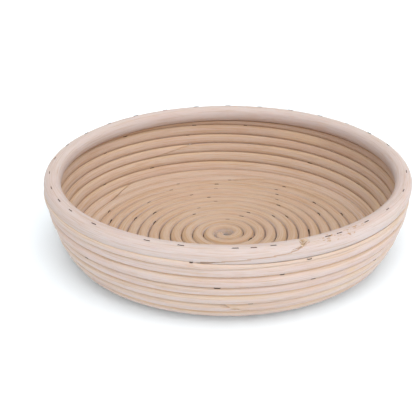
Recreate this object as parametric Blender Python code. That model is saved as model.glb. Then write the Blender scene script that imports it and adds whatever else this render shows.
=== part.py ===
"""Round banneton basket: a coil of rattan cane, a thick rim hoop and the wire staples that hold it.

Metres, +Z up. The basket stands on z = 0, centred on the Z axis, with its front towards -Y.
Azimuths are in degrees from the front towards +X, which is the way the coil climbs.
"""

import math

import bmesh
import bpy

# Driving dimensions
RIM_OUTER_R = 0.1400      # outside radius of the rim hoop
RIM_CANE_R = 0.0063       # radius of the rim cane, centre to flat
CANE_R = 0.0042           # radius of the coiled cane, centre to flat
GAP = 0.0003              # clearance between neighbouring canes
PITCH = 2 * CANE_R + GAP  # one turn of the coil to the next
TOP_TURN_R = 0.1342       # centreline radius of the top wall turn, at the front

# Side profile of the coil, by turn counted down from the top wall turn
LEAN_TOP = 7.5            # lean of the wall from the vertical at the top turn, degrees
LEAN_PER_TURN = 5.3       # further lean per turn, going down
BEND_START = 4.5          # turn at which the wall starts to bend into the floor
BEND_END = 6.5            # turn from which the floor is flat
BEND_SLIM = 0.925         # the cane is a little slimmer through the bend
SLIM_EASE = 0.6           # turns over which it slims
THIN_TURN = 2             # the cane is thinnest here, and full again one turn up or down
THIN = 0.13               # how much thinner, as a part of its radius
CENTRE_R = 0.0048         # centreline radius at the inner end of the coil
CENTRE_TAPER = 0.5        # turns over which the inner end tapers
CENTRE_TIP = 0.50         # size of the inner tip, as a part of the full cane

# Facets
CANE_SIDES = 8
RIM_SIDES = 10
STEP_WALL = 7.5           # degrees per segment, for turns wider than FINE_TURNS
STEP_FLOOR = 15.0
STEP_CENTRE = 30.0
FINE_TURNS = 9.0          # turns down to which STEP_WALL is used
MIDDLE_TURNS = 15.0       # turns down to which STEP_FLOOR is used

# Splices of the coil, in turns along it (0 is the front of the top turn)
FLOOR_JOINT = (-6.5 - 22.5 / 360, -6.5)
FOOT_JOINT = (-6.0 + 225.0 / 360, -6.0 + 247.5 / 360)
FRONT_JOINT = (-4.0, -4.0 + 15.0 / 360)
BACK_JOINT = (-3.0 + 195.0 / 360, -3.0 + 217.5 / 360)
COIL_END = 0.75           # the pared end of the coil, under the rim
TIP_THICK = 0.0006        # thickness left at a feathered end

# Rim hoop, whose two ends overlap in a long slanting joint
RIM_CUT = (               # azimuth, height of the cut over the centreline in cane radii
    (-11.5, -1.0), (-9.0, -0.50), (17.0, 0.24), (21.2, 0.72), (23.4, 1.0),
)
RIM_LOW_TIP = -8.0        # azimuth where the lower end starts
RIM_HIGH_TIP = 21.2       # azimuth where the upper end stops, torn off square
RIM_HOLLOW = 0.35         # depth of the hollow over the lower tip, in cane radii
RIM_HOLLOW_TO = -3.0      # azimuth where the hollow ends
RIM_JOINT = (-3.0, 3.5, 10.5, 17.0, 21.2)   # stations shared by both ends
RIM_STEP = 7.4            # azimuth steps round the rest of the rim

# Pared strip that fills the outer groove under the rim, on the left
STRIP_FROM = -96.0
STRIP_TO = 61.5
STRIP_STEP = 7.5
STRIP_SIZES = (           # (azimuth, size of the section): full on the left, a sliver on the right
    (-96.0, 0.25), (-81.0, 1.0), (-12.0, 1.0), (13.5, 0.40), (39.0, 0.40), (46.5, 0.50), (61.5, 0.20),
)
STRIP_RAISE = 0.0010      # it rides this much higher, until the rim's lower end pushes it down
STRIP_DROP = (-15.0, -6.0)      # azimuths over which it is pushed down
STRIP_ROOT = (0.0034, 0.0043)   # innermost point of the groove, from the top turn's centre
STRIP_OUTLINE = (         # section, from the top turn's centre: outwards, upwards
    (0.0032, 0.0036), (0.0048, 0.0021), (0.0056, 0.0028), (0.0059, 0.0041),
    (0.0057, 0.0054), (0.0051, 0.0060), (0.0043, 0.0055), (0.0032, 0.0047),
)

# Staples through the rim
WIRE = 0.0006             # side of the square wire
STAPLE_W = 0.0050         # overall width of the crown
STAPLE_LEG = 0.0158       # overall height
STAPLE_OFF = 0.0015       # outwards from the rim's centreline
CROWN_LIFT = 0.00015      # clearance between a crown and the rim
HOLE = 0.0009             # side of the square holes for the legs
HOLE_OVER = 0.0002        # depth of a hole past the leg's tip
STAPLES_FRONT = (-84, -72, -62, -54, -42, -23, -13, 2, 7, 12.5, 29, 33, 44, 55, 70, 85, 108)
STAPLES_BACK_FROM = 120.0
STAPLES_BACK_STEP = 12.0
STAPLES_BACK = 13


def lean_at(level):
    """Lean of the profile from the vertical, in radians, at a turn counted down from the top."""
    if level < BEND_START:
        return math.radians(LEAN_TOP + LEAN_PER_TURN * max(level, 0.0))
    if level < BEND_END:
        start = LEAN_TOP + LEAN_PER_TURN * BEND_START
        part = (level - BEND_START) / (BEND_END - BEND_START)
        return math.radians(start + (90.0 - start) * part)
    return math.radians(90.0)


def pitch_at(level):
    """Profile length per turn; over a thinner cane the centrelines lie closer together."""
    if abs(level - THIN_TURN) >= 1:
        return PITCH
    return PITCH - CANE_R * THIN * 0.5 * math.pi * abs(math.sin(math.pi * level))


def walk_down(level, steps_per_turn=64):
    """(radius, height) of the profile at a turn, measured from the top turn's centre."""
    if level < 0:
        return (-level * PITCH * math.sin(lean_at(0)), -level * PITCH * math.cos(lean_at(0)))
    steps = max(1, math.ceil(level * steps_per_turn))
    size = level / steps
    radius = height = 0.0
    for index in range(steps):
        middle = (index + 0.5) * size
        step = pitch_at(middle) * size
        radius -= step * math.sin(lean_at(middle))
        height -= step * math.cos(lean_at(middle))
    return radius, height


TOP_TURN_Z = CANE_R - walk_down(BEND_END)[1]
RIM_Z = TOP_TURN_Z + CANE_R + GAP + RIM_CANE_R
RIM_CENTRE_R = RIM_OUTER_R - RIM_CANE_R / math.cos(math.pi / RIM_SIDES)
RIM_TOP = RIM_Z + RIM_CANE_R
COIL_CEILING = RIM_Z - RIM_CANE_R - GAP


def profile(level):
    """Centreline (radius, height) of the coil at a turn counted down from the top."""
    radius, height = walk_down(level)
    return TOP_TURN_R + radius, TOP_TURN_Z + height


def level_of(turns):
    """Turn level at a distance along the coil: level across the front, climbing round the back."""
    whole = math.floor(turns + 1e-9)
    angle = 2 * math.pi * (turns - whole)
    return -(whole + (angle - math.sin(angle)) / (2 * math.pi))


def regular(sides, flat):
    """Regular polygon with a flat on top and below, as (outwards, upwards) points."""
    corner = flat / math.cos(math.pi / sides)
    turn = 0.0 if sides % 4 else 0.5
    angles = [2 * math.pi * (k + turn) / sides for k in range(sides)]
    return [(corner * math.cos(a), corner * math.sin(a)) for a in angles]


def clip(ring, direction, limit):
    """The part of a convex ring that lies below limit along direction, with as many points."""
    count = len(ring)
    over = [u * direction[0] + v * direction[1] - limit for u, v in ring]
    cut = [i for i in range(count) if over[i] > -1e-7]
    if not cut:
        return ring
    first = next(i for i in cut if over[i - 1] <= -1e-7)

    def crossing(kept, gone):
        part = over[kept] / (over[kept] - over[gone])
        return [ring[kept][k] + part * (ring[gone][k] - ring[kept][k]) for k in range(2)]

    last = (first + len(cut) - 1) % count
    start = crossing(first - 1, first)
    end = crossing((last + 1) % count, last)
    result = list(ring)
    for k in range(len(cut)):
        part = k / (len(cut) - 1) if len(cut) > 1 else 0.5
        spot = tuple(start[j] + part * (end[j] - start[j]) for j in range(2))
        result[(first + k) % count] = spot
    return result


def scaled(ring, size):
    return [(u * size, v * size) for u, v in ring]


def between(low, high, value):
    return min(1.0, max(0.0, (value - low) / (high - low)))


def material(name, colour, metallic=0.0, roughness=0.6):
    made = bpy.data.materials.new(name)
    made.use_nodes = True
    shader = made.node_tree.nodes["Principled BSDF"]
    shader.inputs["Base Color"].default_value = (*colour, 1.0)
    shader.inputs["Metallic"].default_value = metallic
    shader.inputs["Roughness"].default_value = roughness
    return made


def add_object(name, points, faces, made_of):
    mesh = bpy.data.meshes.new(name)
    mesh.from_pydata(points, [], faces)
    work = bmesh.new()
    work.from_mesh(mesh)
    bmesh.ops.recalc_face_normals(work, faces=work.faces)
    work.to_mesh(mesh)
    work.free()
    mesh.materials.append(made_of)
    obj = bpy.data.objects.new(name, mesh)
    bpy.context.scene.collection.objects.link(obj)
    return obj


def sweep(name, stations, made_of):
    """One closed bar through stations of (azimuth, radius, height, lean, ring)."""
    points, faces = [], []
    sides = len(stations[0][4])
    for azimuth, radius, height, lean, ring in stations:
        angle = math.radians(azimuth)
        for u, v in ring:
            r = radius + u * math.cos(lean) + v * math.sin(lean)
            z = height - u * math.sin(lean) + v * math.cos(lean)
            points.append((r * math.sin(angle), -r * math.cos(angle), z))
    for index in range(len(stations) - 1):
        low, high = index * sides, (index + 1) * sides
        for k in range(sides):
            following = (k + 1) % sides
            faces.append((low + k, low + following, high + following, high + k))
    faces.append(tuple(range(sides))[::-1])
    faces.append(tuple(range(len(points) - sides, len(points))))
    obj = add_object(name, points, faces, made_of)
    obj.data.shade_smooth()
    obj.data.set_sharp_from_angle(angle=math.radians(50))
    return obj


def coil_turns(first, last):
    """Distances along the coil, with a station at each step of azimuth and at both ends."""
    found = [first]
    degrees = 360.0 * first
    while True:
        level = level_of(degrees / 360.0)
        if level < FINE_TURNS:
            step = STEP_WALL
        elif level < MIDDLE_TURNS:
            step = STEP_FLOOR
        else:
            step = STEP_CENTRE
        degrees = step * math.floor(degrees / step + 1 + 1e-6)
        if degrees >= 360.0 * last - 1e-6:
            break
        found.append(degrees / 360.0)
    return found + [last]


def slimness(level):
    """Size of the cane at a turn: 1, or less round THIN_TURN and through the bend."""
    if abs(level - THIN_TURN) < 1:
        return 1.0 - THIN * 0.5 * (1.0 + math.cos(math.pi * (level - THIN_TURN)))
    middle = 0.5 * (BEND_START + BEND_END) + 0.05
    half = 0.5 * (BEND_END - BEND_START) - 0.05
    part = 1.0 - between(half, half + SLIM_EASE, abs(level - middle))
    return 1.0 - (1.0 - BEND_SLIM) * part


def scarf(joint, turns, reach):
    """Height of a scarf's cut over the cane's centreline: it drops fast, then runs out slowly."""
    part = 1.0 - (1.0 - between(joint[0], joint[1], turns)) ** 2
    return (reach - TIP_THICK - GAP) * (1.0 - 2.0 * part)


def coil(name, first, last, made_of, joint_low=None, joint_high=None):
    """A length of the coil. joint_low is the scarf at its start, joint_high the one at its end."""
    stations = []
    for turns in coil_turns(first, last):
        level = level_of(turns)
        radius, height = profile(level)
        lean = lean_at(level)
        size = slimness(level)
        if joint_low is None:
            size *= CENTRE_TIP + (1 - CENTRE_TIP) * between(0, CENTRE_TAPER, turns - first)
        ring = scaled(regular(CANE_SIDES, CANE_R), size)
        reach = CANE_R * size
        if joint_low and turns <= joint_low[1] + 1e-6:
            ring = clip(ring, (0, -1), -scarf(joint_low, turns, reach) - GAP)
        if joint_high and turns >= joint_high[0] - 1e-6:
            ring = clip(ring, (0, 1), scarf(joint_high, turns, reach))
        up = (-math.sin(lean), math.cos(lean))
        ring = clip(ring, up, COIL_CEILING - height)
        azimuth = 360.0 * (turns - math.floor(turns))
        stations.append((azimuth, radius, height, lean, ring))
    return sweep(name, stations, made_of)


def rim_cut(azimuth):
    """Height of the slanting cut above the rim's centreline, at an azimuth in the joint."""
    for (a0, h0), (a1, h1) in zip(RIM_CUT, RIM_CUT[1:]):
        if azimuth <= a1:
            return RIM_CANE_R * (h0 + (h1 - h0) * between(a0, a1, azimuth))
    return RIM_CANE_R


def rim_hoop(made_of):
    """The rim: a thick cane bent to a hoop, with its upper end lying on its lower end."""
    cut_from, cut_to = RIM_CUT[0][0], RIM_CUT[-1][0]
    span = 360.0 + cut_from - cut_to
    count = round(span / RIM_STEP)
    body = [cut_to + span * k / count for k in range(count + 1)]
    closing = [360.0 + azimuth for azimuth in (RIM_CUT[1][0],) + RIM_JOINT]
    stations = []
    for azimuth in [RIM_LOW_TIP, *RIM_JOINT, *body, *closing]:
        ring = regular(RIM_SIDES, RIM_CANE_R)
        if azimuth < cut_to:
            hollow = RIM_HOLLOW * (1 - between(RIM_LOW_TIP, RIM_HOLLOW_TO, azimuth))
            ring = clip(ring, (0, 1), rim_cut(azimuth) - RIM_CANE_R * hollow - GAP)
        elif azimuth > body[-1]:
            ring = clip(ring, (0, -1), -rim_cut(azimuth - 360.0))
        stations.append((azimuth, RIM_CENTRE_R, RIM_Z, 0.0, ring))
    return sweep("rim_hoop", stations, made_of)


def strip_size(azimuth):
    for (a0, size0), (a1, size1) in zip(STRIP_SIZES, STRIP_SIZES[1:]):
        if azimuth <= a1:
            return size0 + (size1 - size0) * between(a0, a1, azimuth)
    return STRIP_SIZES[-1][1]


def groove_strip(made_of):
    """Thin pared strip of cane in the outer groove between the rim and the top turn."""
    count = round((STRIP_TO - STRIP_FROM) / STRIP_STEP)
    stations = []
    for index in range(count + 1):
        azimuth = STRIP_FROM + STRIP_STEP * index
        size = strip_size(azimuth)
        ring = [
            tuple(root + (value - root) * size for root, value in zip(STRIP_ROOT, point))
            for point in STRIP_OUTLINE
        ]
        raised = STRIP_RAISE * (1.0 - between(*STRIP_DROP, azimuth))
        stations.append((azimuth, TOP_TURN_R, TOP_TURN_Z + raised, 0.0, ring))
    return sweep("groove_strip", stations, made_of)


def box_points(azimuth, along, across, low, high):
    """Corners of an upright box at a rim azimuth: along is (from, to) round the rim, in metres."""
    angle = math.radians(azimuth)
    points = []
    for z in (low, high):
        for s, r in ((along[0], -across), (along[1], -across), (along[1], across), (along[0], across)):
            radius = RIM_CENTRE_R + STAPLE_OFF + r
            x = radius * math.sin(angle) + s * math.cos(angle)
            y = -radius * math.cos(angle) + s * math.sin(angle)
            points.append((x, y, z))
    return points


BOX_FACES = ((3, 2, 1, 0), (4, 5, 6, 7), (0, 1, 5, 4), (1, 2, 6, 5), (2, 3, 7, 6), (3, 0, 4, 7))


def staple(name, azimuth, made_of):
    """A U of square wire, its crown on top of the rim and its legs down through it."""
    half, top = STAPLE_W / 2, RIM_TOP + CROWN_LIFT + WIRE
    low = top - STAPLE_LEG
    outline = (
        (-half, low), (-half + WIRE, low), (-half + WIRE, top - WIRE), (half - WIRE, top - WIRE),
        (half - WIRE, low), (half, low), (half, top), (-half, top),
    )
    angle = math.radians(azimuth)
    points = []
    for side in (-WIRE / 2, WIRE / 2):
        radius = RIM_CENTRE_R + STAPLE_OFF + side
        for s, z in outline:
            x = radius * math.sin(angle) + s * math.cos(angle)
            y = -radius * math.cos(angle) + s * math.sin(angle)
            points.append((x, y, z))
    count = len(outline)
    faces = [tuple(range(count)), tuple(range(count, 2 * count))[::-1]]
    for k in range(count):
        following = (k + 1) % count
        faces.append((k, following, count + following, count + k))
    return add_object(name, points, faces, made_of)


def leg_cutter(azimuths, made_of):
    """All the leg holes as one helper mesh."""
    points, faces = [], []
    centre = STAPLE_W / 2 - WIRE / 2
    low = RIM_TOP + CROWN_LIFT + WIRE - STAPLE_LEG - HOLE_OVER
    for azimuth in azimuths:
        for side in (-centre, centre):
            base = len(points)
            along = (side - HOLE / 2, side + HOLE / 2)
            points += box_points(azimuth, along, HOLE / 2, low, RIM_TOP + 0.002)
            faces += [tuple(base + k for k in face) for face in BOX_FACES]
    cutter = add_object("leg_cutter", points, faces, made_of)
    cutter.hide_render = True
    cutter.display_type = "WIRE"
    return cutter


def drill(obj, cutter):
    holes = obj.modifiers.new("leg_holes", "BOOLEAN")
    holes.operation = "DIFFERENCE"
    holes.solver = "EXACT"
    holes.object = cutter


for old in list(bpy.data.objects):
    bpy.data.objects.remove(old)

cane_floor = material("cane_floor", (0.74, 0.58, 0.43))
cane_foot = material("cane_foot", (0.76, 0.61, 0.47))
cane_lower = material("cane_lower", (0.78, 0.64, 0.50))
cane_middle = material("cane_middle", (0.80, 0.67, 0.54))
cane_top = material("cane_top", (0.79, 0.65, 0.52))
cane_rim = material("cane_rim", (0.84, 0.73, 0.63))
cane_strip = material("cane_strip", (0.79, 0.62, 0.47))
staple_steel = material("staple_steel", (0.22, 0.20, 0.18), metallic=1.0, roughness=0.45)

centre_level = BEND_END + (profile(BEND_END)[0] - CENTRE_R) / PITCH
coil("floor_cane", -centre_level, FLOOR_JOINT[1], cane_floor, None, FLOOR_JOINT)
coil("wall_cane_foot", FLOOR_JOINT[0], FOOT_JOINT[1], cane_foot, FLOOR_JOINT, FOOT_JOINT)
coil("wall_cane_lower", FOOT_JOINT[0], FRONT_JOINT[1], cane_lower, FOOT_JOINT, FRONT_JOINT)
coil("wall_cane_middle", FRONT_JOINT[0], BACK_JOINT[1], cane_middle, FRONT_JOINT, BACK_JOINT)
wall_top = coil("wall_cane_top", BACK_JOINT[0], COIL_END, cane_top, BACK_JOINT)
rim = rim_hoop(cane_rim)
groove_strip(cane_strip)

staple_azimuths = list(STAPLES_FRONT)
staple_azimuths += [STAPLES_BACK_FROM + STAPLES_BACK_STEP * k for k in range(STAPLES_BACK)]
for number, place in enumerate(sorted(staple_azimuths), start=1):
    staple(f"rim_staple_{number:02d}", place, staple_steel)
legs = leg_cutter(staple_azimuths, staple_steel)
drill(rim, legs)
drill(wall_top, legs)
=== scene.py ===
"""Looks of the round banneton basket: cane, splices, staples and fibres on the CAD frame.

Metres, +Z up, front towards -Y. Azimuths are in degrees from the front towards +X.
"""

import math
import random

import bpy
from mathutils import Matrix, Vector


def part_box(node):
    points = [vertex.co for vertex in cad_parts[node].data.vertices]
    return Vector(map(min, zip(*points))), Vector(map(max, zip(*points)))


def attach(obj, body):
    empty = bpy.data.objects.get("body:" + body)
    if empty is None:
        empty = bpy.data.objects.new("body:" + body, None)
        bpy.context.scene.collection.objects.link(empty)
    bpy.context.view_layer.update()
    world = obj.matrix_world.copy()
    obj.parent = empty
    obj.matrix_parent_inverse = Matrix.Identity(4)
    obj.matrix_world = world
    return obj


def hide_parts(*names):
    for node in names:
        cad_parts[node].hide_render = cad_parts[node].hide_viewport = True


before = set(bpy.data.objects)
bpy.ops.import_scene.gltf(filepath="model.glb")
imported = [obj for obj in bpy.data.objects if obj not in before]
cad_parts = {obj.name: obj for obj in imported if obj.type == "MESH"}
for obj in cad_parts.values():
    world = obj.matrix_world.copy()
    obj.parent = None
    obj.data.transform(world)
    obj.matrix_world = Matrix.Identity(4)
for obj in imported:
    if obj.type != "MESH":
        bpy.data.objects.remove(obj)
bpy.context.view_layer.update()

# The coil, as in the CAD model
RIM_CANE_R = 0.0063       # radius of the rim cane
RIM_CENTRE_R = 0.13338    # centreline radius of the rim hoop
CANE_R = 0.0042           # radius of the coiled cane
GAP = 0.0003              # clearance between neighbouring canes
PITCH = 2 * CANE_R + GAP  # one turn of the coil to the next
TOP_TURN_R = 0.1342       # centreline radius of the top wall turn, at the front
LEAN_TOP = 7.5            # lean of the wall from the vertical at the top turn, degrees
LEAN_PER_TURN = 5.3       # further lean per turn, going down
BEND_START = 4.5          # turn at which the wall starts to bend into the floor
BEND_END = 6.5            # turn from which the floor is flat
THIN_TURN = 2             # the cane is thinnest here, and full again one turn up or down
THIN = 0.13               # how much thinner, as a part of its radius
CENTRE_R = 0.0048         # centreline radius at the inner end of the coil
CENTRE_TAPER = 0.5        # turns over which the inner end tapers
WALK_STEPS = 64           # steps per turn in the table of the profile
WALK_TURNS = 7            # turns that the table covers, to past the end of the bend

# Splices of the coil, in turns along it (0 is the front of the top turn)
FLOOR_JOINT = (-6.5 - 22.5 / 360, -6.5)
FOOT_JOINT = (-6.0 + 225.0 / 360, -6.0 + 247.5 / 360)
FRONT_JOINT = (-4.0 - 2.0 / 360, -4.0 + 13.0 / 360)
BACK_JOINT = (-3.0 + 195.0 / 360, -3.0 + 217.5 / 360)
COIL_END = 0.75           # the pared end of the coil, under the rim

# The rim hoop's slanting joint, close to the CAD's
RIM_CUT = (               # azimuth, height of the cut over the centreline in cane radii
    (-11.5, -1.0), (-9.0, -0.50), (17.0, 0.24), (20.6, 0.66), (23.0, 1.0),
)
RIM_CUT_BLUR = 2.0        # degrees over which the corners of the cut are rounded off
RIM_LOW_TIP = -8.0        # azimuth where the lower end starts
RIM_HIGH_TIP = 20.6       # azimuth where the upper end stops, torn off square
RIM_HOLLOW = 0.16         # depth of the hollow over the lower tip, in cane radii
RIM_HOLLOW_TO = 0.0       # azimuth where the hollow ends
RIM_JOINT_GAP = 0.0002    # clearance between the two ends

# Pared strip in the outer groove under the rim, close to the CAD's
STRIP_FROM = -96.0        # azimuth where it starts
STRIP_TO = 61.5           # and where it ends
STRIP_SIZES = (           # (azimuth, size of the section): full at the left, thin at the right
    (-96.0, 0.10), (-92.0, 0.84), (-81.0, 1.0), (-12.0, 1.0),
    (13.5, 0.48), (39.0, 0.54), (50.0, 0.66), (61.5, 0.12),
)
STRIP_BLUR = 3.0          # degrees over which the corners of that table are rounded off
STRIP_RAISE = 0.0010      # it rides this much higher, until the rim's lower end pushes it down
STRIP_DROP = (-15.0, -6.0)      # azimuths over which it is pushed down
STRIP_ROOT = (0.0032, 0.0046)   # innermost point of the groove, from the top turn's centre
STRIP_OUTLINE = (         # section, from the top turn's centre: outwards, upwards
    (0.0028, 0.0037), (0.0046, 0.0019), (0.0056, 0.0026), (0.0059, 0.0041),
    (0.0058, 0.0056), (0.0054, 0.0068), (0.0046, 0.0071), (0.0028, 0.0060),
)

# How the real cane differs from the CAD bars
WALL_LOOK_R = 0.00449     # neighbouring turns press against each other
WALL_DEPTH = 0.955        # thickness through the wall, as a part of that along it
CENTRE_TIP = 0.75         # size of the inner tip, as a part of the full cane
RIM_LOOK_R = 0.00642      # between the flats and the corners of the CAD's rim
WALL_SQUARE = 3.1         # 2 is a round section, more is squarer
FLOOR_ROUNDER = 0.5       # how much less square the cane of the floor is
RIM_SQUARE = 2.3
COIL_UNEVEN = 0.014       # how much the thickness of the coiled cane varies, as a part of it
COIL_WOBBLE = 0.00025     # and how far it wanders in and out
RIM_UNEVEN = 0.008        # the same for the rim
RIM_WOBBLE = 0.00012
STRIP_UNEVEN = 0.03       # and for the strip's thickness
FLOOR_LEVELS = (6.3, 7.3)       # turns over which the wall's look gives way to the floor's
FOOT_TURN = 6.0           # the turn at the foot of the wall
FOOT_REACH = (0.2, 0.9)   # turns up or down from it over which its swelling dies away
FOOT_SWELL = 0.03         # it is thicker by this part
FOOT_OUT = 0.0002         # and stands out this much further
SCARF_EDGE = 0.00015      # thickness left at a splice's feathered ends, with the clearance
SCARF_GAP = 0.00008       # clearance between the two canes of a splice
FRESH_CUT = (0.15, 0.55)  # part of a splice over which its pared face stops looking fresh
JOINT_TINT = 0.7          # warmth of the upper cane where a splice starts
JOINT_TINT_REACH = (0.1, 0.75)  # part of the splice over which that dies away
SEAT_DROP = 0.0006        # the coil is pared this much lower under the rim, on the right
SEAT_FROM = (24, 46)      # azimuths over which the drop grows
SEAT_TO = (50, 62)        # and over which it ends
CEILING_GAP = 0.0001      # from the flat under the CAD's rim down to the top of the coil
FLOOR_CLEARANCE = 0.00002       # height of the coil over the studio floor
RIM_SCUFFS = ((24, 28), (40, 46))   # azimuths over which the scuffed stretch starts and ends
STRIP_TINT = 0.1          # warmth of the strip on the left
STRIP_TINT_RISE = 0.6     # and how much more it has on the right
STRIP_TINT_TURN = (-12.0, 10.0)     # azimuths between left and right

# Fineness of the meshes
CANE_SIDES = 24
RIM_SIDES = 32
STEP = 3.0                # degrees between stations of the coil
STEP_CENTRE = 9.0         # and near the centre
STEP_LEVELS = (9, 17)     # turns over which the steps grow
RIM_STEP = 1.5            # degrees between stations of the rim and the strip
RIM_JOINT_STEP = 0.4      # and along the rim's joint
RIM_JOINT_TO = 24.0       # azimuth where the joint's fine steps end
RIM_JOINT_FROM = 348.0    # and where they start again

# Cuts
SEAM = -0.8               # mark at the edge of a cut, painted as a fine dark line: painted shade of the crack there
SEAM_SHADE = -0.8         # times the mark, how far the painted crack shade covers the cane's colour
SHARP_ANGLE = 38.0        # an edge that turns by more degrees than this stays sharp

# Staples
WIRE_R = 0.00027          # radius of the wire
CROWN_W = 0.0050          # overall width of a crown
RIM_STAPLE_OUT = 0.0021   # outwards from the rim's centreline
GROOVE_OUT = 0.0026       # outwards from a turn's centreline
GROOVE_LEG = 0.0022       # how far a groove staple's legs go in
RIM_GROOVE_LEG = 0.0009   # and under the rim
WALL_GROOVES = 5          # grooves of the wall that have staples
GROOVES = 17              # and of the wall and floor together
STAPLE_SPACING = 0.055    # along a groove, roughly
# Under the rim: (azimuth, width, outwards, upwards), the last two from the top turn's centreline
RIM_GROOVE_STAPLES = ((-9.8, 0.0016, 0.0057, 0.0075), (22.6, 0.0028, 0.0053, 0.0052))
# (azimuth, groove), counting grooves down from the rim
GROOVE_STAPLES_FRONT = (
    (-30.2, 1), (-16.8, 1), (-1.0, 1), (15.2, 1),
    (25.2, 2), (-3.0, 3), (6.8, 4), (38.5, 4), (52.0, 3), (-47.0, 3), (60.0, 1), (-62.0, 2),
)
# The wall's other staples are placed by chance, between these azimuths
BACK_FROM, BACK_TO = 75.0, 285.0
INSIDE_FROM = (-60, -40)  # where those inside the front start
INSIDE_TO = 60

# Stains: (degrees along the coil, half length)
STAINS = ((-720 + 39.0, 3.5), (-1080 - 75.0, 9.0), (-360 + 150.0, 14.0), (-1440 + 96.0, 9.0))

# Torn end of the rim's joint, and the loose fibres
FRAY_FIBRES = 40
FRAY_FROM = -0.0040       # outwards from the rim's centreline
FRAY_WIDTH = 0.0090       # from there across the rim
FRAY_ROOT = 0.0012        # how far back a fibre starts from the torn end
SPLITS = (                # degrees from the torn end and outwards, at a split's start and its end
    (-0.15, 0.0046, -0.45, 0.0012), (0.25, 0.0045, 1.9, 0.0022), (-0.4, 0.0052, -3.2, 0.0058),
)
SPLIT_R = 0.00022         # radius of a split at its widest
HAIRS = 46
HAIR_R = 0.00006          # radius of a loose fibre at its root
HAIR_LEVELS = (0.5, 1.5, 2.5, 3.5, 4.5)     # the wall's grooves, in turns

# Colours of the cane, linear
RIM_BELLY, RIM_FLANK = (0.535, 0.457, 0.436), (0.550, 0.447, 0.385)
WALL_BELLY, WALL_FLANK = (0.562, 0.465, 0.440), (0.584, 0.457, 0.362)
WARM_BELLY, WARM_FLANK = (0.558, 0.465, 0.436), (0.580, 0.455, 0.358)
FLOOR_BELLY, FLOOR_FLANK = (0.550, 0.452, 0.415), (0.565, 0.440, 0.340)
SPECK_BROWN = (0.34, 0.21, 0.13)
# Tan of the grooves: partly the cane's own unbleached colour, partly painted shade between the
# turns and under the rim
GROOVE_TAN_AND_SHADE = (0.680, 0.480, 0.310)
INNER_TAN_AND_SHADE = (0.90, 0.80, 0.65)   # multiplies the others on the canes' inner faces: partly their own less bleached tone, partly painted shade of the basket's inside
PARED_TAN = (0.585, 0.428, 0.290)
STAIN_TAN = (0.585, 0.428, 0.295)
# Painted shade of the cracks along the edges of cuts
SEAM_SHADE_BROWN = (0.42, 0.24, 0.13)
SCUFF_BROWN = (0.42, 0.27, 0.16)
FRAY_LIGHT, FRAY_DARK = (0.74, 0.61, 0.46), (0.42, 0.26, 0.14)
# Colours of the split lines: painted shade inside the cracks
SPLIT_LIGHT, SPLIT_DARK = (0.34, 0.22, 0.13), (0.20, 0.12, 0.07)

# Colours of the staple wire and the studio floor
WIRE_DARK, WIRE_RUST = (0.024, 0.014, 0.008), (0.080, 0.036, 0.015)
WIRE_SCRATCH = (0.18, 0.13, 0.09)
STUDIO_WHITE = (0.90, 0.960, 0.995, 1.0)
STUDIO_SCATTER = 0.060    # metres that light spreads inside the studio floor

# Light and camera
WORLD_STRENGTH = 0.78
LIGHTS = (                # name, azimuth, elevation, strength, spread
    ("key", 12.0, 60.0, 0.57, 50.0),
    ("front", 8.0, 14.0, 0.17, 40.0),
    ("side", 70.0, 20.0, 0.15, 40.0),
)
CAMERA_ELEVATION = 23.5
CAMERA_DISTANCE = 0.77    # 5.5 times the basket's radius
LENS = 85.8               # millimetres
SHIFT = (-0.0426, -0.0888)      # frames the basket as the photograph does


def lean_at(level):
    """Lean of the profile from the vertical, in radians, at a turn counted down from the top."""
    if level < BEND_START:
        return math.radians(LEAN_TOP + LEAN_PER_TURN * max(level, 0.0))
    if level < BEND_END:
        start = LEAN_TOP + LEAN_PER_TURN * BEND_START
        part = (level - BEND_START) / (BEND_END - BEND_START)
        return math.radians(start + (90.0 - start) * part)
    return math.radians(90.0)


def pitch_at(level):
    """Profile length per turn; over a thinner cane the centrelines lie closer together."""
    if abs(level - THIN_TURN) >= 1:
        return PITCH
    return PITCH - CANE_R * THIN * 0.5 * math.pi * abs(math.sin(math.pi * level))


def thinness(level):
    """Radius of the wall's cane at a turn, as a part of the full one."""
    if abs(level - THIN_TURN) >= 1:
        return 1.0
    return 1.0 - THIN * 0.5 * (1.0 + math.cos(math.pi * (level - THIN_TURN)))


def make_walk():
    """Table of the profile below the top turn's centre, at equal steps down the wall."""
    spots = [(0.0, 0.0)]
    for index in range(WALK_STEPS * WALK_TURNS):
        level = (index + 0.5) / WALK_STEPS
        lean, size = lean_at(level), pitch_at(level) / WALK_STEPS
        radius, height = spots[-1]
        spots.append((radius - size * math.sin(lean), height - size * math.cos(lean)))
    return spots


WALK = make_walk()


def walk_down(level):
    """(radius, height) of the profile at a turn, measured from the top turn's centre."""
    if level < 0:
        return (-level * PITCH * math.sin(lean_at(0)), -level * PITCH * math.cos(lean_at(0)))
    place = level * WALK_STEPS
    index = int(place)
    if index >= len(WALK) - 1:
        radius, height = WALK[-1]
        return radius - PITCH * (place - len(WALK) + 1) / WALK_STEPS, height
    part = place - index
    (r0, z0), (r1, z1) = WALK[index], WALK[index + 1]
    return r0 + part * (r1 - r0), z0 + part * (z1 - z0)


TOP_TURN_Z = CANE_R - walk_down(BEND_END)[1]
RIM_Z = TOP_TURN_Z + CANE_R + GAP + RIM_CANE_R
COIL_CEILING = RIM_Z - RIM_CANE_R - CEILING_GAP


def profile(level):
    """Centreline (radius, height) of the coil at a turn counted down from the top."""
    radius, height = walk_down(level)
    return TOP_TURN_R + radius, TOP_TURN_Z + height


def level_of(turns):
    """Turn level at a distance along the coil: even across the front, climbing round the back."""
    whole = math.floor(turns + 1e-9)
    angle = 2 * math.pi * (turns - whole)
    return -(whole + (angle - math.sin(angle)) / (2 * math.pi))


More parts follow.
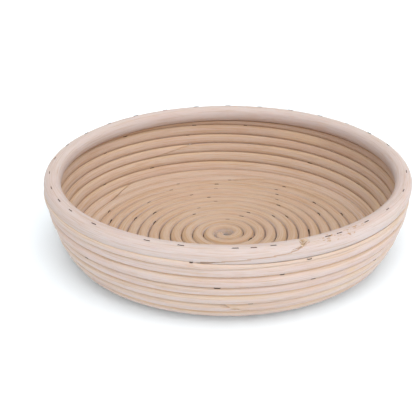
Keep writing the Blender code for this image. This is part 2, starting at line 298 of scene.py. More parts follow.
def between(low, high, value):
    """0 up to low, 1 from high on, and in proportion between them."""
    return min(1.0, max(0.0, (value - low) / (high - low)))


def ease(low, high, value):
    """As between, with a gentle start and end."""
    part = between(low, high, value)
    return part * part * (3 - 2 * part)


def follow(table, place, blur):
    """Value of a table of (place, value) at a place, its corners rounded off over 2 x blur."""
    total = 0.0
    for share in (-1.0, -0.5, 0.0, 0.5, 1.0):
        spot = min(max(place + share * blur, table[0][0]), table[-1][0])
        for (a0, value0), (a1, value1) in zip(table, table[1:]):
            if spot <= a1:
                total += value0 + (value1 - value0) * between(a0, a1, spot)
                break
    return total / 5


def drift(place, seed):
    """Smooth irregular value of about -1 to 1 along a cane."""
    waves = ((1.0, 0.45, 0.0), (2.37, 0.30, 1.7), (5.11, 0.17, 4.1), (11.3, 0.08, 2.2))
    return sum(size * math.sin(rate * place + turn + seed * 2.39) for rate, size, turn in waves)


def spaced(first, last, step):
    """Equal steps from first, going no further than last."""
    return [first + step * k for k in range(int((last - first) / step + 1e-6) + 1)]


def at(azimuth, radius, height):
    """Point at an azimuth, a radius from the basket's axis and a height."""
    angle = math.radians(azimuth)
    return (radius * math.sin(angle), -radius * math.cos(angle), height)


def tilt(radius, height, lean, u, v):
    """(radius, height) of the point u outwards and v upwards from a centreline that leans."""
    return (
        radius + u * math.cos(lean) + v * math.sin(lean),
        height - u * math.sin(lean) + v * math.cos(lean),
    )


def rim_skin(out):
    """Height of the rim cane's skin over its centreline, at a distance outwards."""
    return RIM_LOOK_R * (1 - (abs(out) / RIM_LOOK_R) ** RIM_SQUARE) ** (1 / RIM_SQUARE)


def section(sides, radius, square, depth=1.0):
    """Ring of points round a cane, as (outwards, upwards)."""
    points = []
    for k in range(sides):
        angle = 2 * math.pi * (k + 0.5) / sides
        c, s = math.cos(angle), math.sin(angle)
        reach = radius / (abs(c) ** square + abs(s) ** square) ** (1 / square)
        points.append((depth * reach * c, reach * s))
    return points


def clip(ring, direction, limit):
    """The part of a convex ring below limit along direction, as (points, marks).

    A mark is 1 on the pared face, SEAM at its edges, where the material paints a fine line of
    shade, and 0 on the rest of the cane.
    """
    count = len(ring)
    over = [u * direction[0] + v * direction[1] - limit for u, v in ring]
    cut = [i for i in range(count) if over[i] > -1e-7]
    if not cut:
        return ring, [0.0] * count
    if len(cut) == count:
        raise ValueError("nothing is left of the ring")
    first = next(i for i in cut if over[i - 1] <= -1e-7)

    def crossing(kept, gone):
        part = over[kept] / (over[kept] - over[gone])
        return [ring[kept][k] + part * (ring[gone][k] - ring[kept][k]) for k in range(2)]

    last = (first + len(cut) - 1) % count
    start = crossing(first - 1, first)
    end = crossing((last + 1) % count, last)
    result, marks = list(ring), [0.0] * count
    for k in range(len(cut)):
        part = k / (len(cut) - 1) if len(cut) > 1 else 0.5
        spot = tuple(start[j] + part * (end[j] - start[j]) for j in range(2))
        index = (first + k) % count
        result[index] = spot
        marks[index] = 1.0 if 0 < k < len(cut) - 1 else SEAM
    return result, marks


def build(name, points, faces, made_of, attributes=None):
    """A smooth mesh piece, with optional point attributes for its material."""
    mesh = bpy.data.meshes.new(name)
    mesh.from_pydata(points, [], faces)
    for label, values in (attributes or {}).items():
        is_vector = isinstance(values[0], tuple)
        layer = mesh.attributes.new(label, "FLOAT_VECTOR" if is_vector else "FLOAT", "POINT")
        if is_vector:
            layer.data.foreach_set("vector", [x for value in values for x in value])
        else:
            layer.data.foreach_set("value", values)
    mesh.materials.append(made_of)
    mesh.shade_smooth()
    mesh.update()
    obj = bpy.data.objects.new(name, mesh)
    bpy.context.scene.collection.objects.link(obj)
    return obj


def sweep(name, stations, made_of, middle=0.0):
    """A closed bar through stations of (azimuth, radius, height, lean, ring, marks, tint).

    Its attributes: grain, the point in straightened cane (along, out, up); side, how far up or
    down from the middle of the cane's flank it is; cut, the marks that clip makes; tint, how warm
    or, on the rim, how scuffed that stretch is.
    """
    points, faces, grain, side, cut, tints = [], [], [], [], [], []
    sides = len(stations[0][4])
    reach = max(max(abs(v - middle) for u, v in station[4]) for station in stations)
    along = 0.0
    before = None
    for azimuth, radius, height, lean, ring, marks, tint in stations:
        centre = at(azimuth, radius, height)
        along += math.dist(centre, before) if before else 0.0
        before = centre
        for (u, v), mark in zip(ring, marks):
            points.append(at(azimuth, *tilt(radius, height, lean, u, v)))
            grain.append((along, u, v))
            side.append((v - middle) / reach)
            cut.append(mark)
            tints.append(tint)
    for index in range(len(stations) - 1):
        low, high = index * sides, (index + 1) * sides
        for k in range(sides):
            following = (k + 1) % sides
            faces.append((low + k, high + k, high + following, low + following))
    faces.append(tuple(range(sides)))
    faces.append(tuple(range(len(points) - sides, len(points)))[::-1])
    attributes = {"grain": grain, "side": side, "cut": cut, "tint": tints}
    obj = build(name, points, faces, made_of, attributes)
    obj.data.set_sharp_from_angle(angle=math.radians(SHARP_ANGLE))
    return obj


def scarf(joint, turns, reach):
    """Height of a scarf's cut over the cane's centreline: it drops fast, then runs out slowly."""
    part = 1.0 - (1.0 - between(joint[0], joint[1], turns)) ** 2
    return (reach - SCARF_EDGE) * (1.0 - 2.0 * part)


def stain(turns):
    """Warm stains here and there along the coil."""
    found = 0.0
    for middle, half in STAINS:
        found = max(found, 1.0 - ease(0.3, 1.0, abs(360.0 * turns - middle) / half))
    return found


def fade(joint, reach, turns):
    """1 at the start of a splice, dying away over a part of its length."""
    return 1.0 - ease(*reach, between(*joint, turns))


def coil(name, first, last, made_of, seed, joint_low, joint_high):
    """A length of the coil, pared where it is spliced to the length before and the one after."""
    stations = []
    degrees = [360.0 * first]
    while degrees[-1] < 360.0 * last - 1e-6:
        level = level_of(degrees[-1] / 360.0)
        step = STEP + (STEP_CENTRE - STEP) * ease(*STEP_LEVELS, level)
        degrees.append(min(degrees[-1] + step, 360.0 * last))
    for place in degrees:
        turns = place / 360.0
        level = level_of(turns)
        radius, height = profile(level)
        lean = lean_at(level)
        on_floor = ease(*FLOOR_LEVELS, level)
        foot = 1.0 - ease(*FOOT_REACH, abs(level - FOOT_TURN))
        angle = turns * 2 * math.pi
        full = (WALL_LOOK_R + (CANE_R - WALL_LOOK_R) * on_floor) * thinness(level)
        full *= 1.0 + FOOT_SWELL * foot
        full *= 1.0 - COIL_UNEVEN * (1 + drift(angle * 1.3, seed)) * (0.6 + 0.4 * on_floor)
        if joint_low is None:
            full *= CENTRE_TIP + (1 - CENTRE_TIP) * ease(0, CENTRE_TAPER, turns - first)
        ring = section(CANE_SIDES, full, WALL_SQUARE - FLOOR_ROUNDER * on_floor, WALL_DEPTH)
        marks = [0.0] * CANE_SIDES
        tint = stain(turns)
        if joint_low and turns < joint_low[1]:
            ring, marks = clip(ring, (0, -1), -scarf(joint_low, turns, full) - SCARF_GAP)
            fresh = fade(joint_low, FRESH_CUT, turns)
            marks = [mark * fresh if mark > 0 else mark for mark in marks]
        if joint_low:
            tint = max(tint, JOINT_TINT * fade(joint_low, JOINT_TINT_REACH, turns))
        if joint_high and turns > joint_high[0]:
            ring, marks = clip(ring, (0, 1), scarf(joint_high, turns, full))
            fresh = fade(joint_high, FRESH_CUT, turns)
            marks = [mark * fresh if mark > 0 else mark for mark in marks]
        turn_azimuth = 360.0 * (turns - math.floor(turns))
        seat = ease(*SEAT_FROM, turn_azimuth) * (1 - ease(*SEAT_TO, turn_azimuth))
        up = (-math.sin(lean), math.cos(lean))
        ring, top_marks = clip(ring, up, COIL_CEILING - height - SEAT_DROP * seat)
        marks = [max(pair, key=abs) for pair in zip(marks, top_marks)]
        ring, _ = clip(ring, (math.sin(lean), -math.cos(lean)), height - FLOOR_CLEARANCE)
        radius += COIL_WOBBLE * drift(angle * 0.9, seed + 5) * (1 - on_floor) + FOOT_OUT * foot
        stations.append((turn_azimuth, radius, height, lean, ring, marks, tint))
    return sweep(name, stations, made_of)


def rim_cut(azimuth):
    """Height of the slanting cut above the rim's centreline, at an azimuth in the joint."""
    return RIM_LOOK_R * follow(RIM_CUT, azimuth, RIM_CUT_BLUR)


def rim_hoop(made_of):
    """The rim: a thick cane bent to a hoop, its upper end lying on its lower end."""
    end = 360.0 + RIM_HIGH_TIP
    azimuths = spaced(RIM_LOW_TIP, RIM_JOINT_TO, RIM_JOINT_STEP)
    azimuths += spaced(RIM_JOINT_TO, RIM_JOINT_FROM, RIM_STEP)[1:]
    azimuths += spaced(RIM_JOINT_FROM, end, RIM_JOINT_STEP)[1:] + [end]
    stations = []
    for azimuth in azimuths:
        full = RIM_LOOK_R * (1 - RIM_UNEVEN * (1 + drift(azimuth * 0.11, 3)))
        ring = section(RIM_SIDES, full, RIM_SQUARE)
        marks = [0.0] * RIM_SIDES
        if azimuth < RIM_CUT[-1][0]:
            hollow = RIM_HOLLOW * (1 - ease(RIM_LOW_TIP, RIM_HOLLOW_TO, azimuth))
            cut = rim_cut(azimuth) - RIM_LOOK_R * hollow - RIM_JOINT_GAP
            ring, marks = clip(ring, (0, 1), cut)
        elif azimuth > 360.0 + RIM_CUT[0][0]:
            ring, marks = clip(ring, (0, -1), -rim_cut(azimuth - 360.0))
        wobble = RIM_WOBBLE * drift(azimuth * 0.07, 9)
        place = (azimuth + 180.0) % 360.0 - 180.0
        worn = ease(*RIM_SCUFFS[0], place) * (1 - ease(*RIM_SCUFFS[1], place))
        stations.append((azimuth, RIM_CENTRE_R + wobble, RIM_Z, 0.0, ring, marks, worn))
    return sweep("rim_hoop_cane", stations, made_of)


def cut_corners(outline):
    """The outline with each corner cut off at a quarter of its sides."""
    finer = []
    for (u0, v0), (u1, v1) in zip(outline, outline[1:] + outline[:1]):
        finer.append((0.75 * u0 + 0.25 * u1, 0.75 * v0 + 0.25 * v1))
        finer.append((0.25 * u0 + 0.75 * u1, 0.25 * v0 + 0.75 * v1))
    return finer


def groove_strip(made_of):
    """Thin pared strip of cane in the outer groove under the rim, running out to a point."""
    outline = cut_corners(STRIP_OUTLINE)
    stations = []
    for azimuth in spaced(STRIP_FROM, STRIP_TO, RIM_STEP):
        size = follow(STRIP_SIZES, azimuth, STRIP_BLUR)
        size *= 1 + STRIP_UNEVEN * drift(azimuth * 0.2, 2)
        ring = [
            tuple(root + (value - root) * size for root, value in zip(STRIP_ROOT, point))
            for point in outline
        ]
        raised = STRIP_RAISE * (1.0 - ease(*STRIP_DROP, azimuth))
        marks = [0.0] * len(ring)
        tint = STRIP_TINT + STRIP_TINT_RISE * ease(*STRIP_TINT_TURN, azimuth)
        stations.append((azimuth, TOP_TURN_R, TOP_TURN_Z + raised, 0.0, ring, marks, tint))
    return sweep("groove_strip_cane", stations, made_of, middle=STRIP_ROOT[1])


def tube(path, radii, sides, points, faces):
    """Adds a closed tube along a path of points to a mesh under construction."""
    base = len(points)
    count = len(path)
    for index, spot in enumerate(path):
        ahead = path[min(index + 1, count - 1)]
        behind = path[max(index - 1, 0)]
        along = [a - b for a, b in zip(ahead, behind)]
        length = math.hypot(*along) or 1.0
        along = [x / length for x in along]
        side = (0.0, 0.0, 1.0) if abs(along[2]) < 0.7 else (1.0, 0.0, 0.0)
        first = [
            along[1] * side[2] - along[2] * side[1],
            along[2] * side[0] - along[0] * side[2],
            along[0] * side[1] - along[1] * side[0],
        ]
        size = math.hypot(*first)
        first = [x / size for x in first]
        second = [
            along[1] * first[2] - along[2] * first[1],
            along[2] * first[0] - along[0] * first[2],
            along[0] * first[1] - along[1] * first[0],
        ]
        for k in range(sides):
            angle = 2 * math.pi * k / sides
            c, s = radii[index] * math.cos(angle), radii[index] * math.sin(angle)
            points.append(tuple(p + c * a + s * b for p, a, b in zip(spot, first, second)))
    for index in range(count - 1):
        low, high = base + index * sides, base + (index + 1) * sides
        for k in range(sides):
            following = (k + 1) % sides
            faces.append((low + k, low + following, high + following, high + k))
    faces.append(tuple(base + k for k in range(sides))[::-1])
    faces.append(tuple(base + (count - 1) * sides + k for k in range(sides)))


def wire_piece(name, paths, made_of, sides=8):
    """Bent wires along the paths, as one mesh."""
    points, faces = [], []
    for path in paths:
        tube(path, [WIRE_R] * len(path), sides, points, faces)
    return build(name, points, faces, made_of)


def rim_staple(name, azimuth, made_of, dice):
    """One round-wire staple across the rim's top, its crown lying on the cane."""
    out = RIM_STAPLE_OUT + dice.uniform(-0.0003, 0.0004)
    top = RIM_Z + rim_skin(out)
    top += dice.uniform(-0.00005, 0.00015)
    half = math.degrees((CROWN_W / 2 - WIRE_R) / RIM_CENTRE_R)
    sink, skew = dice.uniform(0.0, 0.0002), dice.uniform(-0.0001, 0.0001)
    left = [(-1.0, -0.0045), (-1.0, -0.0008), (-0.93, -0.0002), (-0.78, 0.0), (-0.3, -sink)]
    path = left + [(-s, z) for s, z in left[::-1]]
    spots = [at(azimuth + s * half, RIM_CENTRE_R + out, top + z + skew * s) for s, z in path]
    return wire_piece(name, [spots], made_of)


def bends(leg):
    """A groove staple's crown and legs: (place along the crown from -1 to 1, depth)."""
    return ((-1, leg), (-0.95, 0.0003), (-0.75, 0), (0.75, 0), (0.95, 0.0003), (1, leg))


def groove_places(dice):
    """Places of the staples between turns: (azimuth, groove, 1 outside or -1 inside)."""
    places = [(azimuth, groove, 1) for azimuth, groove in GROOVE_STAPLES_FRONT]
    for groove in range(1, GROOVES + 1):
        in_wall = groove <= WALL_GROOVES
        spacing = math.degrees(STAPLE_SPACING / profile(groove - 0.5)[0])
        azimuth, end = (BACK_FROM, BACK_TO) if in_wall else (dice.uniform(0, spacing), 360.0)
        while azimuth < end:
            places.append((azimuth, groove, dice.choice((1, 1, -1)) if in_wall else -1))
            azimuth += spacing * dice.uniform(0.7, 1.4)
        azimuth = dice.uniform(*INSIDE_FROM)
        while azimuth < INSIDE_TO and in_wall:
            places.append((azimuth, groove, -1))
            azimuth += spacing * dice.uniform(0.8, 1.6)
    return places


def groove_staples(made_of, dice):
    """The staples under the rim and between the turns, as one mesh of bent wires."""
    paths = []
    for azimuth, width, out, up in RIM_GROOVE_STAPLES:
        half = math.degrees(0.5 * width / TOP_TURN_R)
        path = []
        for s, depth in bends(RIM_GROOVE_LEG):
            path.append(at(azimuth + s * half, TOP_TURN_R + out - depth, TOP_TURN_Z + up))
        paths.append(path)
    for azimuth, groove, side in groove_places(dice):
        level = level_of(azimuth % 360.0 / 360.0 - groove)
        radius, height = profile(level)
        lean = lean_at(level)
        out = GROOVE_OUT * dice.uniform(0.95, 1.1)
        half = math.degrees((CROWN_W / 2) / radius) * dice.uniform(0.6, 0.8)
        v = 0.5 * PITCH * thinness(level)
        path = []
        for s, depth in bends(GROOVE_LEG):
            spot = tilt(radius, height, lean, side * (out - depth), v)
            path.append(at(azimuth + s * half, *spot))
        paths.append(path)
    return wire_piece("coil_staples", paths, made_of, 6)


def splinters(name, made_of, dice):
    """Ragged fibres at the torn upper end of the rim's joint."""
    points, faces = [], []
    cut = rim_cut(RIM_HIGH_TIP)
    for index in range(FRAY_FIBRES):
        u = FRAY_FROM + FRAY_WIDTH * (index + dice.random()) / FRAY_FIBRES
        v = cut + (rim_skin(u) - cut) * dice.uniform(0.1, 0.95)
        length = dice.uniform(0.0008, 0.0042) * (1.0 - 0.6 * between(0.0, 0.005, u))
        curl = dice.uniform(-0.0006, 0.0007)
        side = dice.uniform(-0.0008, 0.0008)
        path = []
        for k in range(5):
            part = k / 4
            ahead = -FRAY_ROOT + (FRAY_ROOT + length) * part
            turn = RIM_HIGH_TIP + math.degrees(ahead / RIM_CENTRE_R)
            spread = u + side * part ** 2
            path.append(at(turn, RIM_CENTRE_R + spread, RIM_Z + v + curl * part ** 2))
        width = dice.uniform(0.00012, 0.00028)
        tube(path, [width * size for size in (1.0, 1.0, 0.85, 0.6, 0.15)], 5, points, faces)
    return build(name, points, faces, made_of)


def splits(name, made_of, dice):
    """Dark, fine lines on the rim's skin, to either side of the torn end: painted shade of its
    splits.
    """
    points, faces = [], []
    for turn0, u0, turn1, u1 in SPLITS:
        path = []
        for k in range(9):
            part = k / 8
            u = u0 + (u1 - u0) * part + dice.uniform(-0.00012, 0.00012)
            u = min(u, 0.99 * RIM_LOOK_R)
            turn = RIM_HIGH_TIP + turn0 + (turn1 - turn0) * part
            path.append(at(turn, RIM_CENTRE_R + u, RIM_Z + rim_skin(u)))
        radii = [SPLIT_R * size for size in (0.5, 1, 1, 0.8, 0.9, 0.7, 0.5, 0.35, 0.15)]
        tube(path, radii, 5, points, faces)
    return build(name, points, faces, made_of)


def hairs(name, made_of, dice):
    """Fine loose fibres standing off the cane here and there."""
    points, faces = [], []
    for _ in range(HAIRS):
        azimuth = dice.uniform(0, 360)
        level = dice.choice(HAIR_LEVELS) + dice.uniform(-0.06, 0.06)
        radius, height = profile(level)
        lean = lean_at(level)
        length = dice.uniform(0.003, 0.008)
        path = []
        rise = dice.uniform(-0.3, 0.3)
        bow = dice.uniform(0.0002, 0.0009)
        for k in range(7):
            part = k / 6
            u = GROOVE_OUT + bow * math.sin(math.pi * part * 0.8)
            v = rise * length * part * 0.4
            turn = azimuth + math.degrees(length * part / radius)
            path.append(at(turn, *tilt(radius, height, lean, u, v)))
        radii = [HAIR_R * size for size in (1, 1, 0.95, 0.85, 0.7, 0.5, 0.2)]
        tube(path, radii, 4, points, faces)
    return build(name, points, faces, made_of)


class Nodes:
    """Short way of building a material's nodes."""

    def __init__(self, name):
        self.material = bpy.data.materials.new(name)
        self.material.use_nodes = True
        self.tree = self.material.node_tree
        self.shader = self.tree.nodes["Principled BSDF"]

    def link(self, source, target):
        self.tree.links.new(source, target)

    def attribute(self, name, output):
        node = self.tree.nodes.new("ShaderNodeAttribute")
        node.attribute_name = name
        return node.outputs[output]

    def math(self, operation, first, second=None, third=None, clamp=False):
        node = self.tree.nodes.new("ShaderNodeMath")
        node.operation = operation
        node.use_clamp = clamp
        for socket, value in zip(node.inputs, (first, second, third)):
            if value is None:
                continue
            if isinstance(value, (int, float)):
                socket.default_value = value
            else:
                self.link(value, socket)
        return node.outputs[0]

    def stretch(self, vector, scale, offset=(0, 0, 0)):
        node = self.tree.nodes.new("ShaderNodeVectorMath")
        node.operation = "MULTIPLY_ADD"
        self.link(vector, node.inputs[0])
        node.inputs[1].default_value = scale
        node.inputs[2].default_value = offset
        return node.outputs[0]

    def noise(self, vector, detail=3.0, rough=0.55, distortion=0.0):
        node = self.tree.nodes.new("ShaderNodeTexNoise")
        node.inputs["Scale"].default_value = 1.0
        node.inputs["Detail"].default_value = detail
        node.inputs["Roughness"].default_value = rough
        node.inputs["Distortion"].default_value = distortion
        self.link(vector, node.inputs["Vector"])
        return node.outputs["Fac"]

    def ramp(self, value, low, high, to_low=0.0, to_high=1.0):
        node = self.tree.nodes.new("ShaderNodeMapRange")
        node.interpolation_type = "SMOOTHSTEP"
        self.link(value, node.inputs["Value"])
        for label, number in zip(
            ("From Min", "From Max", "To Min", "To Max"), (low, high, to_low, to_high)
        ):
            node.inputs[label].default_value = number
        return node.outputs["Result"]

    def mix(self, factor, first, second, blend="MIX"):
        node = self.tree.nodes.new("ShaderNodeMix")
        node.data_type = "RGBA"
        node.blend_type = blend
        if isinstance(factor, (int, float)):
            node.inputs[0].default_value = factor
        else:
            self.link(factor, node.inputs[0])
        for socket, value in zip((node.inputs[6], node.inputs[7]), (first, second)):
            if isinstance(value, tuple):
                socket.default_value = (*value, 1.0)
            else:
                self.link(value, socket)
        return node.outputs[2]


def cane_material(name, belly, flank, offset, inner_tone_and_shade, is_rim=False):
    """Raw peeled cane: pale and pinkish on the belly, creamier up its flank, tan in the grooves,
    which is partly its own unbleached colour and partly painted shade.

    Offset gives it a pattern of its own. The argument after it is how far its inner faces are
    darkened and warmed: partly the cane's own tone, partly painted shade of the basket's inside.
    """
    nodes = Nodes(name)
    grain = nodes.attribute("grain", "Vector")
    shift = (offset, offset * 1.7, offset * 0.6)
    blotch = nodes.noise(nodes.stretch(grain, (24.0, 190.0, 190.0), shift), 3.0, 0.6)
    streak = nodes.noise(nodes.stretch(grain, (13.0, 850.0, 850.0), shift), 3.0, 0.62, 0.4)
    fibre = nodes.noise(nodes.stretch(grain, (45.0, 3000.0, 3000.0), shift), 2.0, 0.6)
    pores = nodes.noise(nodes.stretch(grain, (300.0, 3600.0, 3600.0), shift), 1.0, 0.5)

    def shade(colour, *factors):
        return tuple(c * f for c, f in zip(colour, factors))

    side = nodes.attribute("side", "Fac")
    rising = nodes.math("MULTIPLY_ADD", blotch, 0.9, side)
    turned = nodes.ramp(rising, 0.55, 1.45, 0.0, 0.25 if is_rim else 1.0)
    colour = nodes.mix(turned, belly, flank)
    patch = nodes.noise(nodes.stretch(grain, (17.0, 90.0, 90.0), shift), 2.0)
    pink = nodes.math("MULTIPLY", nodes.ramp(patch, 0.42, 0.68), 0.55)
    colour = nodes.mix(pink, colour, shade(belly, 0.97, 0.90, 0.88))
    dark_streak = nodes.ramp(streak, 0.51, 0.68, 0.0, 0.55 if is_rim else 0.80)
    colour = nodes.mix(dark_streak, colour, shade(flank, 0.84, 0.77, 0.70))
    light_streak = nodes.ramp(streak, 0.44, 0.26, 0.0, 0.45)
    colour = nodes.mix(light_streak, colour, shade(belly, 1.10, 1.10, 1.08))
    fine = nodes.ramp(fibre, 0.52, 0.66, 0.0, 0.65)
    colour = nodes.mix(fine, colour, shade(flank, 0.80, 0.70, 0.60))
    specks = nodes.ramp(pores, 0.76, 0.83, 0.0, 0.5)
    colour = nodes.mix(specks, colour, SPECK_BROWN)

    # Painted shade, partly the cane's own colour: the flanks that face the next turns, and the
    # rim's underside, go tan
    depth = nodes.math("ABSOLUTE", side) if not is_rim else nodes.math("MULTIPLY", side, -1.0)
    uneven = nodes.math("MULTIPLY_ADD", blotch, 0.16, depth)
    groove_tone_and_shade = nodes.ramp(uneven, 0.94, 1.06, 0.0, 0.85)
    colour = nodes.mix(groove_tone_and_shade, colour, GROOVE_TAN_AND_SHADE)
    inner = nodes.tree.nodes.new("ShaderNodeSeparateXYZ")
    nodes.link(grain, inner.inputs[0])
    # Painted shade of the basket's inside, partly the cane's own tone: inner faces darkened and
    # warmed
    inside = nodes.ramp(inner.outputs["Y"], -0.001, -0.0035, 0.0, inner_tone_and_shade)
    colour = nodes.mix(inside, colour, INNER_TAN_AND_SHADE, "MULTIPLY")
    cut = nodes.attribute("cut", "Fac")
    pared = nodes.math("MULTIPLY", cut, nodes.ramp(streak, 0.35, 0.60, 0.85, 0.45), clamp=True)
    colour = nodes.mix(pared, colour, PARED_TAN)
    # Painted shade: a fine dark line along the edges of cuts
    seam = nodes.math("MULTIPLY", cut, SEAM_SHADE, clamp=True)
    colour = nodes.mix(seam, colour, SEAM_SHADE_BROWN)
    tint = nodes.attribute("tint", "Fac")
    if is_rim:
        scuffs = nodes.noise(nodes.stretch(grain, (330.0, 900.0, 900.0), shift), 2.0, 0.6)
        worn = nodes.math("MULTIPLY", nodes.ramp(scuffs, 0.575, 0.63), tint)
        worn = nodes.math("MULTIPLY", worn, nodes.ramp(side, 0.45, 0.65), clamp=True)
        worn = nodes.math("MULTIPLY", worn, nodes.ramp(inner.outputs["Y"], -0.0002, 0.0012))
        colour = nodes.mix(worn, colour, SCUFF_BROWN)
        dents = nodes.math("MULTIPLY", worn, -1.5)
    else:
        warmth = nodes.math("MULTIPLY", tint, nodes.ramp(streak, 0.35, 0.60, 0.35, 0.85))
        colour = nodes.mix(warmth, colour, STAIN_TAN)
        dents = nodes.math("MULTIPLY", specks, -0.6)

    nodes.link(colour, nodes.shader.inputs["Base Color"])
    nodes.link(nodes.ramp(streak, 0.3, 0.7, 0.70, 0.88), nodes.shader.inputs["Roughness"])
    nodes.shader.inputs["Specular IOR Level"].default_value = 0.08
    nodes.shader.inputs["Subsurface Weight"].default_value = 0.35
    nodes.shader.inputs["Subsurface Radius"].default_value = (1.0, 0.65, 0.45)
    nodes.shader.inputs["Subsurface Scale"].default_value = 0.0016
    height = nodes.math("MULTIPLY_ADD", fibre, 0.5, nodes.math("MULTIPLY", streak, 0.9))
    height = nodes.math("ADD", height, dents)
    bump = nodes.tree.nodes.new("ShaderNodeBump")
    bump.inputs["Strength"].default_value = 0.6
    bump.inputs["Distance"].default_value = 0.00022
    nodes.link(height, bump.inputs["Height"])
    nodes.link(bump.outputs["Normal"], nodes.shader.inputs["Normal"])
    return nodes.material


def wire_material(name):
    """Dull staple wire, darkened and a little rusty."""
    nodes = Nodes(name)
    place = nodes.tree.nodes.new("ShaderNodeTexCoord").outputs["Object"]
    stain = nodes.noise(nodes.stretch(place, (900.0, 900.0, 900.0)), 3.0, 0.6)
    scratch = nodes.noise(nodes.stretch(place, (5200.0, 5200.0, 1600.0)), 2.0, 0.5)
    colour = nodes.mix(nodes.ramp(stain, 0.40, 0.66), WIRE_DARK, WIRE_RUST)
    colour = nodes.mix(nodes.ramp(scratch, 0.62, 0.78, 0.0, 0.4), colour, WIRE_SCRATCH)
    nodes.link(colour, nodes.shader.inputs["Base Color"])
    nodes.shader.inputs["Metallic"].default_value = 0.10
    nodes.shader.inputs["Specular IOR Level"].default_value = 0.25
    nodes.link(nodes.ramp(stain, 0.3, 0.7, 0.55, 0.80), nodes.shader.inputs["Roughness"])
    bump = nodes.tree.nodes.new("ShaderNodeBump")
    bump.inputs["Strength"].default_value = 0.3
    bump.inputs["Distance"].default_value = 0.00003
    nodes.link(scratch, bump.inputs["Height"])
    nodes.link(bump.outputs["Normal"], nodes.shader.inputs["Normal"])
    return nodes.material


def fibre_material(name, light, dark):
    """Torn cane fibre, lighter and darker by the strand."""
    nodes = Nodes(name)
    place = nodes.tree.nodes.new("ShaderNodeTexCoord").outputs["Object"]
    strand = nodes.noise(nodes.stretch(place, (1500.0, 1500.0, 1500.0)), 2.0, 0.6)
    colour = nodes.mix(nodes.ramp(strand, 0.42, 0.58), light, dark)
    nodes.link(colour, nodes.shader.inputs["Base Color"])
    nodes.link(nodes.ramp(strand, 0.3, 0.7, 0.55, 0.8), nodes.shader.inputs["Roughness"])
    return nodes.material


def place_piece(obj, slot, *replaced):
    """Every piece rides on the basket's one body, and stands for a CAD node where it has one."""
    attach(obj, "root")
    if replaced:
        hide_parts(*replaced)


rim_look = cane_material("rim_cane_look", RIM_BELLY, RIM_FLANK, 0.0, 0.0, True)
wall_look = cane_material("wall_cane_look", WALL_BELLY, WALL_FLANK, 7.3, 0.80)
warm_look = cane_material("wall_cane_warm_look", WARM_BELLY, WARM_FLANK, 19.1, 0.80)
floor_look = cane_material("floor_cane_look", FLOOR_BELLY, FLOOR_FLANK, 31.7, 1.0)
wire_look = wire_material("staple_wire_look")
torn_look = fibre_material("torn_fibre_look", FRAY_LIGHT, FRAY_DARK)
# Painted shade: dark lines for the splits near the torn end
split_shade_look = fibre_material("painted_split_shade_look", SPLIT_LIGHT, SPLIT_DARK)

# The lengths of the coil, from the centre out: piece, slot, CAD node, look, its two splices
lengths = (
    ("floor_coil_cane", "floor_cane", "floor_cane", floor_look, None, FLOOR_JOINT),
    ("wall_foot_cane", "wall_cane", "wall_cane_foot", warm_look, FLOOR_JOINT, FOOT_JOINT),
    ("wall_lower_cane", "wall_cane", "wall_cane_lower", wall_look, FOOT_JOINT, FRONT_JOINT),
    ("wall_middle_cane", "wall_cane", "wall_cane_middle", warm_look, FRONT_JOINT, BACK_JOINT),
    ("wall_top_cane", "wall_cane", "wall_cane_top", wall_look, BACK_JOINT, None),
)
centre_level = BEND_END + (profile(BEND_END)[0] - CENTRE_R) / PITCH
for seed, (name, slot, node, look, joint_low, joint_high) in enumerate(lengths, 1):
    first = joint_low[0] if joint_low else -centre_level
    last = joint_high[1] if joint_high else COIL_END
    place_piece(coil(name, first, last, look, seed, joint_low, joint_high), slot, node)
place_piece(rim_hoop(rim_look), "rim_cane", "rim_hoop")
place_piece(groove_strip(warm_look), "wall_cane", "groove_strip")

dice = random.Random(28)
for node_name in sorted(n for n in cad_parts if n.startswith("rim_staple")):
    low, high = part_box(node_name)
    middle = [(a + b) / 2 for a, b in zip(low, high)]
    azimuth = math.degrees(math.atan2(middle[0], -middle[1]))
    piece = rim_staple("wire_" + node_name, azimuth, wire_look, dice)
    place_piece(piece, "staple_wire", node_name)
place_piece(groove_staples(wire_look, dice), "staple_wire")
place_piece(splinters("rim_joint_fray", torn_look, dice), "rim_cane")
place_piece(splits("rim_joint_splits", split_shade_look, dice), "rim_cane")
place_piece(hairs("loose_fibres", torn_look, dice), "wall_cane")


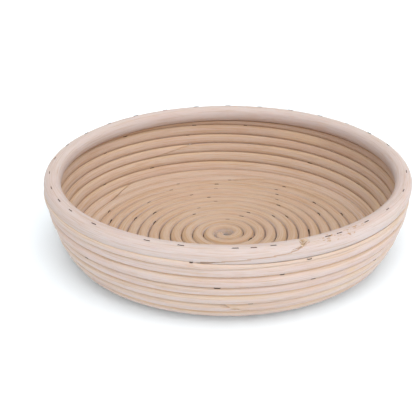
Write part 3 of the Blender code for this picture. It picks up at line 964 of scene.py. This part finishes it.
def floor_material():
    """Pale matt floor, which scatters light widely so that the basket's shadow on it is soft."""
    nodes = Nodes("studio_floor_look")
    nodes.shader.inputs["Base Color"].default_value = STUDIO_WHITE
    nodes.shader.inputs["Roughness"].default_value = 0.9
    nodes.shader.inputs["Specular IOR Level"].default_value = 0.1
    nodes.shader.subsurface_method = "BURLEY"
    nodes.shader.inputs["Subsurface Weight"].default_value = 1.0
    nodes.shader.inputs["Subsurface Radius"].default_value = (1.0, 1.0, 1.0)
    nodes.shader.inputs["Subsurface Scale"].default_value = STUDIO_SCATTER
    return nodes.material


def add_floor():
    """The studio floor, which isn't part of the basket."""
    half = 6.0
    corners = [(-half, -half, 0), (half, -half, 0), (half, half, 0), (-half, half, 0)]
    mesh = bpy.data.meshes.new("studio_floor")
    mesh.from_pydata(corners, [], [(0, 1, 2, 3)])
    mesh.materials.append(floor_material())
    obj = bpy.data.objects.new("studio_floor", mesh)
    bpy.context.scene.collection.objects.link(obj)


def add_broad_light(name, azimuth, elevation, strength, spread):
    """A very broad, distant light, so that the floor is lit evenly."""
    data = bpy.data.lights.new(name, "SUN")
    data.energy = strength * math.pi
    data.angle = math.radians(spread)
    obj = bpy.data.objects.new(name, data)
    obj.rotation_mode = "XYZ"
    obj.rotation_euler = (math.radians(90.0 - elevation), 0.0, math.radians(azimuth))
    bpy.context.scene.collection.objects.link(obj)


def add_camera():
    """The camera, looking from the photograph's angle."""
    data = bpy.data.cameras.new("camera")
    obj = bpy.data.objects.new("camera", data)
    elevation = math.radians(CAMERA_ELEVATION)
    obj.location = (
        0.0,
        -CAMERA_DISTANCE * math.cos(elevation),
        RIM_Z + CAMERA_DISTANCE * math.sin(elevation),
    )
    obj.rotation_mode = "XYZ"
    obj.rotation_euler = (math.pi / 2 - elevation, 0.0, 0.0)
    data.sensor_width = 36.0
    data.lens = LENS
    data.shift_x, data.shift_y = SHIFT
    data.clip_start = 0.01
    bpy.context.scene.collection.objects.link(obj)
    bpy.context.scene.camera = obj


add_floor()
world = bpy.data.worlds.new("studio")
world.use_nodes = True
world.node_tree.nodes["Background"].inputs["Color"].default_value = (1.0, 1.0, 1.0, 1.0)
world.node_tree.nodes["Background"].inputs["Strength"].default_value = WORLD_STRENGTH
bpy.context.scene.world = world
for light in LIGHTS:
    add_broad_light(*light)
bpy.context.scene.view_settings.view_transform = "Standard"
add_camera()
